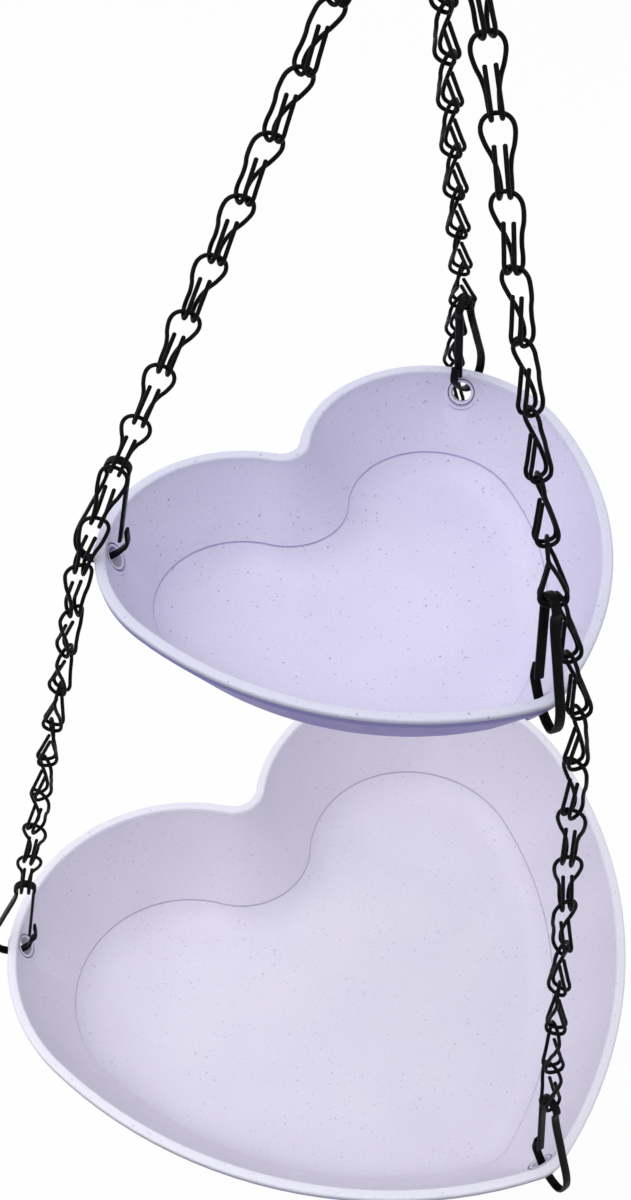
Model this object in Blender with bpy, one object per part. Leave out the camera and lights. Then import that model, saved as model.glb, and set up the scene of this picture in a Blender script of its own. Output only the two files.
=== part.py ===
"""Two-tier hanging bird table: two heart-shaped dishes on chains of bent wire.

The origin is the point of the top hook that bears on its support, +Z is up, and the tips of both
hearts point along -Y. Each strand of chain hangs from the ring, carries a spring clip of the upper
dish, leans out past that dish's rim and runs down to a spring clip of the lower dish.
All lengths are in metres.
"""
import math

import bmesh
import bpy
from mathutils import Matrix, Vector

# Heart outline, as shares of its width
LOBE_OFFSET = 0.229
LOBE_RADIUS = 0.271
SIDE_RADIUS = 0.700
TIP_RADIUS = 0.062
TIP_CENTRE = -0.525
NOTCH_RADIUS = 0.040
TIP_GROWTH = 0.10
NOTCH_GROWTH = 0.80
CENTRE_OF_MASS = -0.107

# Dishes
UPPER_WIDTH = 0.200
LOWER_WIDTH = 0.300
UPPER_DEPTH = 0.040
LOWER_DEPTH = 0.052
WALL_ANGLE = math.radians(33.5)
WALL = 0.0026
RIM_WIDTH = 0.0042
RIM_HEIGHT = 0.0045
RIM_ROUND = 0.0010
RIM_OVERHANG = 0.00070
FLOOR_ROUND = 0.0090
UNDERSIDE_ROUND = 0.0072
LOBE_STEPS = 8
SIDE_STEPS = 4
ROUND_STEPS = 3
SHARP_ANGLE = math.radians(35)

# Holes for the clips, with a raised boss round each
HOLE_ANGLE = math.radians(39)
HOLE_BELOW_RIM = 0.0085
HOLE_RADIUS = 0.0040
BOSS_RADIUS = 0.0072
BOSS_PROUD = 0.0009
HOLE_CUT = 0.0200
DRUM_SIDES = 12

# Chain links, bent from one length of wire
WIRE_RADIUS = 0.00075
LINK_PITCH = 0.0240
LINK_GAP = 0.00045
ARCH_HALF = 0.0050
ARCH_DROP = 0.0048
ARCH_FLAT = 0.0032
HOOK_HALF = 0.0016
HOOK_DEPTH = 0.0038
LAST_HOOK_DEPTH = 0.0048
HOOK_RISE = 0.0012
HOOK_TIP = (0.0016, -0.0004, -0.0098)
WELD_DEPTH = 0.0004
CAP_MERGE = 0.00001
UPPER_LINKS = 11
LEANING_LINKS = 2
LOWER_LINKS = 11
LOWER_TWIST = math.radians(180)

# Where the lower strands leave the upper clips and pass the upper rim
CLIP_ASIDE = 0.0012
STRAND_ASIDE = 0.0022
STRAND_LIFT = 0.0006
LEAN_OUT = 0.0145
LEAN_ASIDE = 0.0030
BEND_LIFT = 0.0005

# Spring clips of flat strip: (outward, upward) from the centre of the hole
CLIP_WIDTH = 0.0036
CLIP_THICKNESS = 0.0014
CLIP_CHAMFER = 0.0004
CLIP_HEIGHT = 0.0467
CLIP_LEAN = 0.0050
UPPER_CLIP_TURN = math.radians(-16)
BULB_RADIUS = 0.0044
BULB_ANGLES = (215, 170, 130, 90, 50, 10, -30)
HOOK_SEAT = 0.0009
LEG_POINTS = ((0.0066, 0.0250), (0.0122, 0.0110), (0.0122, 0.0040), (0.0092, -0.0008))
HOLE_REACH = 0.0036
HOLE_SWEEP = 0.0031
JAW_POINTS = ((-0.0050, 0.0066), (-0.0070, 0.0096), (-0.0070, 0.0165))
GATE_END = (-0.0044, 0.0114)
GATE_GAP = 0.0006
FIRM_PLAY = 0.0003
LOOSE_PLAY = 0.0022

# Ring and hook at the top
RING_RADIUS = 0.0110
RING_WIRE = 0.0015
RING_PLACES = (0.0, 0.0058, -0.0053)
RING_STEPS = 20
RING_SIDES = 8
HOOK_WIRE = 0.0018
HOOK_BOWL = 0.0085
HOOK_CROWN = 0.0120
HOOK_SHANK = 0.0230
HOOK_MOUTH = math.radians(20)
HOOK_STEPS = 9
SEAT_GAP = 0.0003
SWING_LIFT = 0.0005

# Distances between the middles of wires that bear on each other
RING_SEAT = WIRE_RADIUS + RING_WIRE + SEAT_GAP
WELDED_SEAT = 2 * WIRE_RADIUS - WELD_DEPTH
LOOSE_SEAT = 2 * WIRE_RADIUS + LINK_GAP
SEAT_HEIGHT = CLIP_HEIGHT + HOOK_SEAT

STRANDS = ("left", "right", "tip")
DISH_COLOUR = (0.66, 0.62, 0.78)
DISH_ROUGHNESS = 0.40
WIRE_COLOUR = (0.015, 0.015, 0.017)
WIRE_ROUGHNESS = 0.45
WIRE_METALLIC = 0.6
UP = Vector((0, 0, 1))


def clear_scene():
    for obj in list(bpy.data.objects):
        bpy.data.objects.remove(obj, do_unlink=True)


def new_collection(name):
    collection = bpy.data.collections.new(name)
    bpy.context.scene.collection.children.link(collection)
    return collection


def material(name, colour, roughness, metallic):
    made = bpy.data.materials.new(name)
    made.use_nodes = True
    shader = made.node_tree.nodes["Principled BSDF"]
    shader.inputs["Base Color"].default_value = (*colour, 1)
    shader.inputs["Roughness"].default_value = roughness
    shader.inputs["Metallic"].default_value = metallic
    made.diffuse_color = (*colour, 1)
    return made


def dish_plastic(name):
    return material(name, DISH_COLOUR, DISH_ROUGHNESS, 0)


def coated_wire(name):
    return material(name, WIRE_COLOUR, WIRE_ROUGHNESS, WIRE_METALLIC)


def add_object(name, data, collection, finish):
    obj = bpy.data.objects.new(name, data)
    if not data.materials:
        data.materials.append(finish)
    collection.objects.link(obj)
    return obj


# Heart outline

def arc(centre, radius, start, end, steps):
    angles = [start + (end - start) * i / steps for i in range(steps + 1)]
    return [centre + radius * Vector((math.cos(a), math.sin(a))) for a in angles]


def side_centre(width):
    """Centre of the long arc of the right side, which touches the lobe and the tip from within."""
    lobe = Vector((LOBE_OFFSET, 0)) * width
    tip = Vector((0, TIP_CENTRE)) * width
    to_lobe = (SIDE_RADIUS - LOBE_RADIUS) * width
    to_tip = (SIDE_RADIUS - TIP_RADIUS) * width
    span = tip - lobe
    along = (to_lobe ** 2 - to_tip ** 2 + span.length_squared) / (2 * span.length)
    across = math.sqrt(to_lobe ** 2 - along ** 2)
    unit = span.normalized()
    return lobe + along * unit + across * Vector((unit.y, -unit.x))


def heading(vector):
    return math.atan2(vector.y, vector.x)


def tip_circle(width, inset):
    """Height of the centre and radius of the tip's arc at an inset from the rim."""
    centre = side_centre(width)
    radius = TIP_RADIUS * width + TIP_GROWTH * inset
    reach = SIDE_RADIUS * width - inset - radius
    return centre.y - math.sqrt(reach ** 2 - centre.x ** 2), radius


def heart(width, inset):
    """Closed outline of the heart at an inset from the rim, about the dish's centre of mass."""
    lobe = Vector((LOBE_OFFSET * width, 0))
    lobe_radius = LOBE_RADIUS * width - inset
    side = side_centre(width)
    tip_y, tip_radius = tip_circle(width, inset)
    tip = Vector((0, tip_y))
    notch_radius = NOTCH_RADIUS * width + NOTCH_GROWTH * inset
    notch = Vector((0, math.sqrt((lobe_radius + notch_radius) ** 2 - lobe.x ** 2)))
    into_lobe = heading(lobe - notch)
    lobe_end = heading(lobe - side)
    tip_start = heading(tip - side)
    half = arc(notch, notch_radius, -math.pi / 2, into_lobe, ROUND_STEPS)
    half += arc(lobe, lobe_radius, into_lobe + math.pi, lobe_end, LOBE_STEPS)[1:]
    half += arc(side, SIDE_RADIUS * width - inset, lobe_end, tip_start, SIDE_STEPS)[1:]
    half += arc(tip, tip_radius, tip_start, -math.pi / 2, ROUND_STEPS)[1:]
    other = [Vector((-p.x, p.y)) for p in half[-2:0:-1]]
    middle = Vector((0, CENTRE_OF_MASS * width))
    return [p - middle for p in half + other]


# Dishes

def wall_inset(drop):
    """How far the outside of the wall has come in at a drop below the rim."""
    return RIM_OVERHANG + max(drop - RIM_HEIGHT, 0) * math.tan(WALL_ANGLE)


def corner(inset, drop, radius, inward):
    """Rounded corner between the wall and the flat, as (inset, drop) pairs from wall to flat."""
    start = Vector((inset - radius * math.sin(WALL_ANGLE), drop - radius * math.cos(WALL_ANGLE)))
    end = Vector((inset + radius, drop))
    middle = (start + end) / 4 + Vector((inset, drop)) / 2
    points = [start, middle, end]
    return points if inward else points[::-1]


def dish_profile(depth):
    """Closed run of (inset, drop) from the middle of the underside over the rim to the floor."""
    across = WALL / math.cos(WALL_ANGLE)
    floor = depth - WALL
    outside = corner(wall_inset(depth), depth, UNDERSIDE_ROUND, inward=False)
    rim = [
        Vector((wall_inset(RIM_HEIGHT), RIM_HEIGHT)),
        Vector((0, RIM_HEIGHT - RIM_ROUND)),
        Vector((0, RIM_ROUND)),
        Vector((RIM_ROUND, 0)),
        Vector((RIM_WIDTH - RIM_ROUND, 0)),
        Vector((RIM_WIDTH, RIM_ROUND)),
    ]
    inside = corner(wall_inset(floor) + across, floor, FLOOR_ROUND, inward=True)
    return outside + rim + inside


def loft(name, rings):
    mesh = bpy.data.meshes.new(name)
    bm = bmesh.new()
    rows = [[bm.verts.new(p) for p in ring] for ring in rings]
    count = len(rows[0])
    for low, high in zip(rows, rows[1:]):
        for i in range(count):
            j = (i + 1) % count
            bm.faces.new((low[i], low[j], high[j], high[i]))
    bm.faces.new(rows[0][::-1])
    bm.faces.new(rows[-1])
    bmesh.ops.recalc_face_normals(bm, faces=bm.faces)
    bm.to_mesh(mesh)
    bm.free()
    mesh.shade_smooth()
    mesh.set_sharp_from_angle(angle=SHARP_ANGLE)
    return mesh


def hole_frames(width):
    """Centre of each clip hole in the wall, from the centre of mass at rim height, and its heading."""
    inset = wall_inset(HOLE_BELOW_RIM) + WALL / math.cos(WALL_ANGLE) / 2
    middle = Vector((0, CENTRE_OF_MASS * width))
    tip_y, tip_radius = tip_circle(width, inset)
    frames = {"tip": (Vector((0, tip_y - tip_radius)), Vector((0, -1)))}
    for name, sign in (("left", -1), ("right", 1)):
        normal = Vector((sign * math.cos(HOLE_ANGLE), math.sin(HOLE_ANGLE)))
        lobe = Vector((sign * LOBE_OFFSET * width, 0))
        frames[name] = (lobe + (LOBE_RADIUS * width - inset) * normal, normal)
    return {
        name: ((place - middle).to_3d() - HOLE_BELOW_RIM * UP, normal.to_3d())
        for name, (place, normal) in frames.items()
    }


def wall_drums(name, width, radius, length, collection, finish):
    """One mesh of three short cylinders set square to the wall, one at each hole."""
    mesh = bpy.data.meshes.new(name)
    bm = bmesh.new()
    for place, normal in hole_frames(width).values():
        axis = normal * math.cos(WALL_ANGLE) - UP * math.sin(WALL_ANGLE)
        turn = axis.to_track_quat("Z", "Y").to_matrix().to_4x4()
        bmesh.ops.create_cone(bm, cap_ends=True, segments=DRUM_SIDES, radius1=radius,
                              radius2=radius, depth=length, matrix=Matrix.Translation(place) @ turn)
    bm.to_mesh(mesh)
    bm.free()
    obj = add_object(name, mesh, collection, finish)
    obj.hide_render = True
    obj.display_type = "WIRE"
    return obj


def make_dish(name, width, depth, rim_height, parts, cutters):
    finish = dish_plastic(name + "_plastic")
    rings = [[(p.x, p.y, -drop) for p in heart(width, inset)] for inset, drop in dish_profile(depth)]
    dish = add_object(name, loft(name, rings), parts, finish)
    dish.location.z = rim_height
    drums = (
        ("bosses", "UNION", BOSS_RADIUS, WALL + 2 * BOSS_PROUD),
        ("holes", "DIFFERENCE", HOLE_RADIUS, HOLE_CUT),
    )
    for label, operation, radius, length in drums:
        drum = wall_drums(f"{name}_{label}", width, radius, length, cutters, finish)
        drum.parent = dish
        change = dish.modifiers.new(label, "BOOLEAN")
        change.operation = operation
        change.solver = "EXACT"
        change.object = drum
    return dish


# Wire pieces

def wire_curve(name, points, radius, finish):
    curve = bpy.data.curves.new(name, "CURVE")
    curve.dimensions = "3D"
    curve.bevel_depth = radius
    curve.bevel_resolution = 1
    curve.use_fill_caps = True
    spline = curve.splines.new("POLY")
    spline.points.add(len(points) - 1)
    for point, place in zip(spline.points, points):
        point.co = (*place, 1)
    curve.materials.append(finish)
    return curve


def link_points(pitch, seat, depth=HOOK_DEPTH):
    """Wire of one link: up from the end of a hook, round it, up the leg, over the arch and back."""
    bottom = -pitch - seat
    half = [
        Vector(HOOK_TIP),
        Vector((HOOK_HALF, -depth, bottom + HOOK_RISE)),
        Vector((HOOK_HALF, 0, bottom)),
        Vector((HOOK_HALF, depth, bottom + HOOK_RISE)),
        Vector((ARCH_HALF, 0, -ARCH_DROP)),
        Vector((ARCH_FLAT, 0, 0)),
    ]
    return half + [Vector((-p.x, p.y, p.z)) for p in reversed(half)]


def frame_matrix(place, upward, across):
    """Frame with Z along upward and X as near to across as that allows."""
    z = upward.normalized()
    x = (across - across.dot(z) * z).normalized()
    turn = Matrix((x, z.cross(x), z)).transposed().to_4x4()
    return Matrix.Translation(place) @ turn


def strand_frames(top, bottom, count, pitch, start_across, end_across, turns):
    """Frames of a straight run of links, turning evenly from one heading to another."""
    upward = (top - bottom).normalized()
    first = frame_matrix(top, upward, start_across)
    last = frame_matrix(top, upward, end_across)
    swing = (first.inverted() @ last).to_euler("XYZ").z + turns
    frames = []
    for i in range(count):
        turn = Matrix.Rotation(swing * i / max(count - 1, 1), 4, "Z")
        frames.append(Matrix.Translation(-upward * pitch * i) @ first @ turn)
    return frames


def weld_links(name, curves, frames, parts, finish):
    """One body of a strand's links, joined where each hook holds the next arch."""
    welded = None
    for i, (curve, frame) in enumerate(zip(curves, frames)):
        wire = bpy.data.objects.new("wire", curve)
        bpy.context.scene.collection.objects.link(wire)
        mesh = bpy.data.meshes.new_from_object(wire.evaluated_get(bpy.context.evaluated_depsgraph_get()))
        bpy.data.objects.remove(wire)
        bm = bmesh.new()
        bm.from_mesh(mesh)
        bmesh.ops.remove_doubles(bm, verts=bm.verts, dist=CAP_MERGE)
        bm.transform(frame)
        bm.to_mesh(mesh)
        bm.free()
        link = add_object(f"{name}_{i}", mesh, parts, finish)
        if welded is None:
            welded = link
            continue
        union = welded.modifiers.new("weld", "BOOLEAN")
        union.operation = "UNION"
        union.object = link
        joined = bpy.data.meshes.new_from_object(
            welded.evaluated_get(bpy.context.evaluated_depsgraph_get()))
        welded.modifiers.clear()
        welded.data = joined
        bpy.data.objects.remove(link)
    welded.name = name
    return welded


def clip_points(play):
    """Strip of a clip from the loose side of its bulb, through the hole, to the end of its jaw.

    The play is the room above the strip in its hole.
    """
    bulb = Vector((-CLIP_LEAN, CLIP_HEIGHT))
    points = []
    for angle in BULB_ANGLES:
        turn = math.radians(angle)
        points.append(bulb + BULB_RADIUS * Vector((math.cos(turn), math.sin(turn))))
    inward = Vector((-math.cos(WALL_ANGLE), math.sin(WALL_ANGLE)))
    lifted = Vector((math.sin(WALL_ANGLE), math.cos(WALL_ANGLE)))
    chord = math.sqrt(HOLE_RADIUS ** 2 - HOLE_SWEEP ** 2)
    in_hole = lifted * (chord - CLIP_THICKNESS / 2 - play)
    points += [Vector(p) for p in LEG_POINTS]
    points += [in_hole - inward * HOLE_REACH, in_hole + inward * HOLE_REACH]
    points += [Vector(p) for p in JAW_POINTS]
    return points


def strip_mesh(name, points):
    """Flat strip with chamfered edges along (outward, upward) points, its width along Y."""
    thick = CLIP_THICKNESS / 2
    wide = CLIP_WIDTH / 2
    quarter = [(thick, wide - CLIP_CHAMFER), (thick - CLIP_CHAMFER, wide)]
    section = quarter + [(-t, w) for t, w in reversed(quarter)]
    section += [(-t, -w) for t, w in section]
    ways = [(b - a).normalized() for a, b in zip(points, points[1:])]
    rings = []
    for point, before, after in zip(points, ways[:1] + ways, ways + ways[-1:]):
        mitre = (before + after).normalized()
        normal = Vector((mitre.y, -mitre.x)) / mitre.dot(after)
        rings.append([(point.x + normal.x * t, w, point.y + normal.y * t) for t, w in section])
    return loft(name, rings)


def make_clip(name, gate_name, hole, outward, play, parts):
    """Spring clip through one hole, and its gate, in the upright plane along outward."""
    frame = frame_matrix(hole, UP, outward)
    points = clip_points(play)
    clip = add_object(name, strip_mesh(name, points), parts, coated_wire(name + "_strip"))
    clip.matrix_world = frame
    start = points[0]
    end = Vector(GATE_END)
    hinge = start + (end - start).normalized() * GATE_GAP
    straight = strip_mesh(gate_name, [Vector((0, 0)), end - hinge])
    gate = add_object(gate_name, straight, parts, coated_wire(gate_name + "_strip"))
    gate.matrix_world = frame @ Matrix.Translation((hinge.x, 0, hinge.y))
    return clip, gate


# Top fittings

def make_ring(centre, parts):
    """Ring in the upright plane across the hook, with its middle at centre."""
    bpy.ops.mesh.primitive_torus_add(major_radius=RING_RADIUS, minor_radius=RING_WIRE,
                                     major_segments=RING_STEPS, minor_segments=RING_SIDES,
                                     location=centre, rotation=(0, math.pi / 2, 0))
    ring = bpy.context.object
    for collection in ring.users_collection:
        collection.objects.unlink(ring)
    parts.objects.link(ring)
    ring.name = "top_ring"
    ring.data.materials.append(coated_wire("top_ring_wire"))
    ring.data.shade_smooth()
    return ring


def make_hook(parts):
    """S-shaped hook, and the centre of the wire at the bottom of its bowl."""
    crown = Vector((0, HOOK_WIRE - HOOK_CROWN))
    bowl = crown - Vector((0, HOOK_SHANK))
    points = arc(crown, HOOK_CROWN, math.pi + HOOK_MOUTH, 0, HOOK_STEPS)
    points += arc(bowl, HOOK_BOWL, math.pi, 2 * math.pi + HOOK_MOUTH, HOOK_STEPS)
    path = [Vector((p.x, 0, p.y)) for p in points]
    finish = coated_wire("top_hook_wire")
    add_object("top_hook", wire_curve("top_hook", path, HOOK_WIRE, finish), parts, finish)
    return Vector((0, 0, bowl.y - HOOK_BOWL))


# Strands

class Strand:
    """Places of one strand: its ring seat, its clips' holes and the bend past the upper rim."""

    def __init__(self, name, ring_seat):
        self.name = name
        self.ring_seat = ring_seat
        self.upper_hole = hole_frames(UPPER_WIDTH)[name][0]
        self.lower_hole = hole_frames(LOWER_WIDTH)[name][0]
        self.outward = Vector((self.upper_hole.x, self.upper_hole.y, 0)).normalized()
        self.clip_outward = Matrix.Rotation(UPPER_CLIP_TURN, 3, "Z") @ self.outward
        self.aside = UP.cross(self.clip_outward)
        self.upper_reach = self.aside * CLIP_ASIDE - self.clip_outward * CLIP_LEAN
        self.lower_outward = Vector((self.lower_hole.x, self.lower_hole.y, 0)).normalized()
        self.lower_reach = -self.lower_outward * CLIP_LEAN

    def hang_upper(self, upper_rim):
        self.upper_hole.z += upper_rim
        self.upper_seat = self.upper_hole + UP * SEAT_HEIGHT + self.upper_reach
        upward = (self.ring_seat - self.upper_seat).normalized()
        start = self.upper_seat + upward * (LOOSE_SEAT + STRAND_LIFT) + self.aside * STRAND_ASIDE
        lean = self.outward * LEAN_OUT + self.aside * LEAN_ASIDE
        length = LEANING_LINKS * LINK_PITCH
        self.start = start
        self.bend = start + lean - UP * math.sqrt(length ** 2 - lean.length_squared)

    def hang_lower(self, lower_rim):
        self.lower_hole.z += lower_rim
        self.lower_seat = self.lower_hole + UP * SEAT_HEIGHT + self.lower_reach


def drop_between(top, bottom, length):
    """Height between two places that a straight strand of a given length joins."""
    across = Vector((top.x - bottom.x, top.y - bottom.y))
    return math.sqrt(length ** 2 - across.length_squared)


def upper_rim_height(strand):
    """Height of the upper rim at which a strand of whole links reaches its clip."""
    hole = strand.upper_hole + strand.upper_reach
    length = UPPER_LINKS * LINK_PITCH + WELDED_SEAT - RING_SEAT
    seat = strand.ring_seat.z - drop_between(strand.ring_seat, hole, length)
    return seat - SEAT_HEIGHT - strand.upper_hole.z


def lower_rim_height(strand):
    """Height of the lower rim at which a strand of whole links reaches its clip."""
    length = (LOWER_LINKS - LEANING_LINKS) * LINK_PITCH + LOOSE_SEAT
    top = strand.bend + UP * BEND_LIFT
    seat = top.z - drop_between(top, strand.lower_hole + strand.lower_reach, length)
    return seat - SEAT_HEIGHT - strand.lower_hole.z


def make_upper_chain(strand, parts):
    """Links from the ring to the upper clip, joined into one body."""
    upward = (strand.ring_seat - strand.upper_seat).normalized()
    top = strand.ring_seat + upward * RING_SEAT
    pitch = ((top - strand.upper_seat).length - WELDED_SEAT) / UPPER_LINKS
    across = -strand.clip_outward if strand.name == "left" else strand.clip_outward
    frames = strand_frames(top, strand.upper_seat, UPPER_LINKS, pitch, Vector((1, 0, 0)), across, 0)
    name = f"upper_chain_{strand.name}"
    finish = coated_wire(name + "_wire")
    curve = wire_curve(name, link_points(pitch, WELDED_SEAT), WIRE_RADIUS, finish)
    last = wire_curve(name, link_points(pitch, WELDED_SEAT, LAST_HOOK_DEPTH), WIRE_RADIUS, finish)
    return weld_links(name, [curve] * (UPPER_LINKS - 1) + [last], frames, parts, finish)


def make_lower_chain(strand, parts):
    """Loose links from the upper clip, past the rim and down to the lower clip."""
    lean = strand_frames(strand.start, strand.bend, LEANING_LINKS, LINK_PITCH,
                         strand.clip_outward, strand.clip_outward, 0)
    top = strand.bend + UP * BEND_LIFT
    hanging = LOWER_LINKS - LEANING_LINKS
    pitch = ((top - strand.lower_seat).length - LOOSE_SEAT) / hanging
    hang = strand_frames(top, strand.lower_seat, hanging, pitch,
                         strand.clip_outward, strand.lower_outward, LOWER_TWIST)
    links = []
    for i, frame in enumerate(lean + hang):
        name = f"lower_{strand.name}_link_{i + 1:02d}"
        finish = coated_wire(name + "_wire")
        length = LINK_PITCH if i < LEANING_LINKS else pitch
        link = add_object(name, wire_curve(name, link_points(length, LOOSE_SEAT), WIRE_RADIUS, finish),
                          parts, finish)
        link.matrix_world = frame
        links.append(link)
    return links


# Pivots

def add_pivot(name, place, above, parts):
    """Empty on a joint's axis, carried by the pivot above it."""
    pivot = bpy.data.objects.new(name, None)
    pivot.empty_display_size = RING_RADIUS
    parts.objects.link(pivot)
    pivot.parent = above
    pivot.location = place - above.matrix_world.translation if above else place
    bpy.context.view_layer.update()
    return pivot


def carry(pivot, pieces):
    """Hang pieces on a pivot where they stand."""
    for piece in pieces:
        piece.parent = pivot
        piece.matrix_parent_inverse = pivot.matrix_world.inverted()


# Whole assembly

def build_top(parts):
    """Hook and ring, with the ring's pivot and the seats of the strands on the ring."""
    bowl = make_hook(parts)
    middle = bowl + UP * (HOOK_WIRE + RING_WIRE + SEAT_GAP - RING_RADIUS)
    ring = make_ring(middle, parts)
    ring_pivot = add_pivot("ring_pivot", bowl, None, parts)
    carry(ring_pivot, [ring])
    seats = [middle + Vector((0, y, -math.sqrt(RING_RADIUS ** 2 - y ** 2))) for y in RING_PLACES]
    return ring_pivot, seats


def build_upper_tier(strands, rim, ring_pivot, parts, cutters):
    """Upper dish with its clips and chains, and the pivot that they swing on."""
    pieces = [make_dish("upper_dish", UPPER_WIDTH, UPPER_DEPTH, rim, parts, cutters)]
    for strand in strands:
        strand.hang_upper(rim)
        pieces.append(make_upper_chain(strand, parts))
        pieces += make_clip(f"upper_clip_{strand.name}", f"upper_gate_{strand.name}",
                            strand.upper_hole, strand.clip_outward, FIRM_PLAY, parts)
    tier_pivot = add_pivot("upper_tier_pivot", strands[0].ring_seat + UP * SWING_LIFT, ring_pivot, parts)
    carry(tier_pivot, pieces)
    return tier_pivot


def build_lower_tier(strands, rim, tier_pivot, parts, cutters):
    """Lower dish, hung on the clip at its tip, and the loose links and clips that reach it."""
    for strand in strands:
        strand.hang_lower(rim)
        links = make_lower_chain(strand, parts)
        at_tip = strand.name == "tip"
        clip = make_clip(f"lower_clip_{strand.name}", f"lower_gate_{strand.name}", strand.lower_hole,
                         strand.lower_outward, FIRM_PLAY if at_tip else LOOSE_PLAY, parts)
        leaning, bent, hanging = links[:LEANING_LINKS], links[LEANING_LINKS], links[LEANING_LINKS + 1:]
        carry(tier_pivot, leaning)
        bend_pivot = add_pivot(f"lower_{strand.name}_bend_pivot", bent.location, tier_pivot, parts)
        carry(bend_pivot, [bent])
        run_pivot = add_pivot(f"lower_{strand.name}_run_pivot", hanging[0].location, bend_pivot, parts)
        carry(run_pivot, hanging)
        if at_tip:
            clip_pivot = add_pivot("lower_clip_pivot", strand.lower_seat, run_pivot, parts)
            dish_pivot = add_pivot("lower_dish_pivot", strand.lower_hole, clip_pivot, parts)
        carry(clip_pivot if at_tip else run_pivot, clip)
    dish = make_dish("lower_dish", LOWER_WIDTH, LOWER_DEPTH, rim, parts, cutters)
    carry(dish_pivot, [dish])


def build():
    clear_scene()
    parts = new_collection("hanging_bird_table")
    cutters = new_collection("cutters")
    ring_pivot, seats = build_top(parts)
    strands = [Strand(name, seat) for name, seat in zip(STRANDS, seats)]
    tier_pivot = build_upper_tier(strands, upper_rim_height(strands[0]), ring_pivot, parts, cutters)
    build_lower_tier(strands, lower_rim_height(strands[0]), tier_pivot, parts, cutters)


build()
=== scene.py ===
"""Looks of the two-tier hanging bird table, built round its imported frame.

The frame is the part's own: metres, +Z up, the origin at the bearing point of the top hook. The
places of the strands, clips and dishes follow the same named values as the part's source.
"""
import math

import bmesh
import bpy
from mathutils import Matrix, Vector


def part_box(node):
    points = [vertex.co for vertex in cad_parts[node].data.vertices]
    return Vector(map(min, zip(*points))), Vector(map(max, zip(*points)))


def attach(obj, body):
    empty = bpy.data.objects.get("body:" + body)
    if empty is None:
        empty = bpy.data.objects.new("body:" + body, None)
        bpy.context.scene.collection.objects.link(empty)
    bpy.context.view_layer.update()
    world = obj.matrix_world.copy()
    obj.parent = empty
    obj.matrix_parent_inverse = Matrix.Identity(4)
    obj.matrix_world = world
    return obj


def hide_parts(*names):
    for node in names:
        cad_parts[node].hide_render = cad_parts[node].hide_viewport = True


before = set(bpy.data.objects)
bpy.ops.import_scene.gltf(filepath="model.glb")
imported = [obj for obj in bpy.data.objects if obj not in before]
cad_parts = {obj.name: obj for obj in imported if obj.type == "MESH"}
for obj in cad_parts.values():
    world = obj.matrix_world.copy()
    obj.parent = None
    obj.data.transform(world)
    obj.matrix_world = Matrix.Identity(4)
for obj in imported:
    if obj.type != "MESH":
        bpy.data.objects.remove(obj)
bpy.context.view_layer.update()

# Heart outline, as shares of its width
LOBE_OFFSET = 0.229
LOBE_RADIUS = 0.271
SIDE_RADIUS = 0.700
TIP_RADIUS = 0.062
TIP_CENTRE = -0.525
NOTCH_RADIUS = 0.040
TIP_GROWTH = 0.10
NOTCH_GROWTH = 0.80
CENTRE_OF_MASS = -0.107

# Dishes
UPPER_WIDTH = 0.200
LOWER_WIDTH = 0.300
UPPER_DEPTH = 0.040
LOWER_DEPTH = 0.052
WALL_ANGLE = math.radians(33.5)
WALL = 0.0026
RIM_WIDTH = 0.0042
RIM_HEIGHT = 0.0045
RIM_ROUND = 0.0010
RIM_OVERHANG = 0.00070
RIM_UNDERCUT = 0.0003
LIP_HEIGHT = 0.0021
LIP_EDGE = 0.0002
RIM_FOOT = 0.0033
RIM_FLARE = 0.0002
FLOOR_ROUND = 0.0090
UNDERSIDE_ROUND = 0.0072
CREASE_WIDTH = 0.0009
CREASE_DEPTH = 0.0004
NOTCH_STEPS = 14
LOBE_STEPS = 56
SIDE_STEPS = 24
TIP_STEPS = 14
CORNER_STEPS = 8
RIM_STEPS = 5
SHARP_ANGLE = math.radians(40)

# Holes for the clips, with a raised collar round each
HOLE_ANGLE = math.radians(39)
HOLE_BELOW_RIM = 0.0085
HOLE_RADIUS = 0.0040
COLLAR_RADIUS = 0.0072
COLLAR_PROUD = 0.0013
COLLAR_ROUND = 0.0003
GROOVE_INNER = 0.0050
GROOVE_OUTER = 0.0061
GROOVE_DEPTH = 0.0009
COLLAR_CUT = 0.0056
DRILL_LENGTH = 0.020
COLLAR_SIDES = 48
COLLAR_STEPS = 4
TIP_COLLAR_DEPTH = 0.0010
TIP_COLLAR_RADIUS = 0.0062

# Chain links
WIRE_RADIUS = 0.00075
LINK_PITCH = 0.0240
LINK_GAP = 0.00045
ARCH_HALF = 0.0050
ARCH_DROP = 0.0053
ARCH_POWER = 2.3
ARCH_ANGLES = (0, 22, 44, 66)
HOOK_HALF = 0.0016
HOOK_DEPTH = 0.0038
LAST_HOOK_DEPTH = 0.0048
HOOK_TIP = (0.0016, -0.0004, -0.0098)
WELD_DEPTH = 0.0004
TOUCHING_SEAT = 0.00162
TURNING_PLAY = 0.0003
UPPER_LINKS = 11
LEANING_LINKS = 2
LOWER_LINKS = 11
LOWER_TWIST = math.radians(180)
LINK_STEPS = 4
WIRE_SIDES = 12

# Domed ends of a wire: angles of their sections, and their length as a share of the wire's radius
DOME_ANGLES = (25, 50, 72)
DOME_LENGTH = 0.8

# Back of a link's hook, between its tip and its bottom: share of its depth, and drop below half-way
HOOK_BACK = 0.72
HOOK_SAG = 0.0010

# Round of a link's hook, from its back to the leg: (share of its depth, height above its bottom)
HOOK_CURVE = ((-0.97, 0.0034), (-0.80, 0.0011), (-0.42, 0.0002),
              (0.0, 0.0), (0.42, 0.0002), (0.80, 0.0011))

# Leg of a link: (spread from the hook, share of the hook's depth, height above its bottom)
LEG_CURVE = ((0.0001, 0.95, 0.0034), (0.0004, 0.80, 0.0074),
             (0.0013, 0.55, 0.0117), (0.0025, 0.32, 0.0152))

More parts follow.
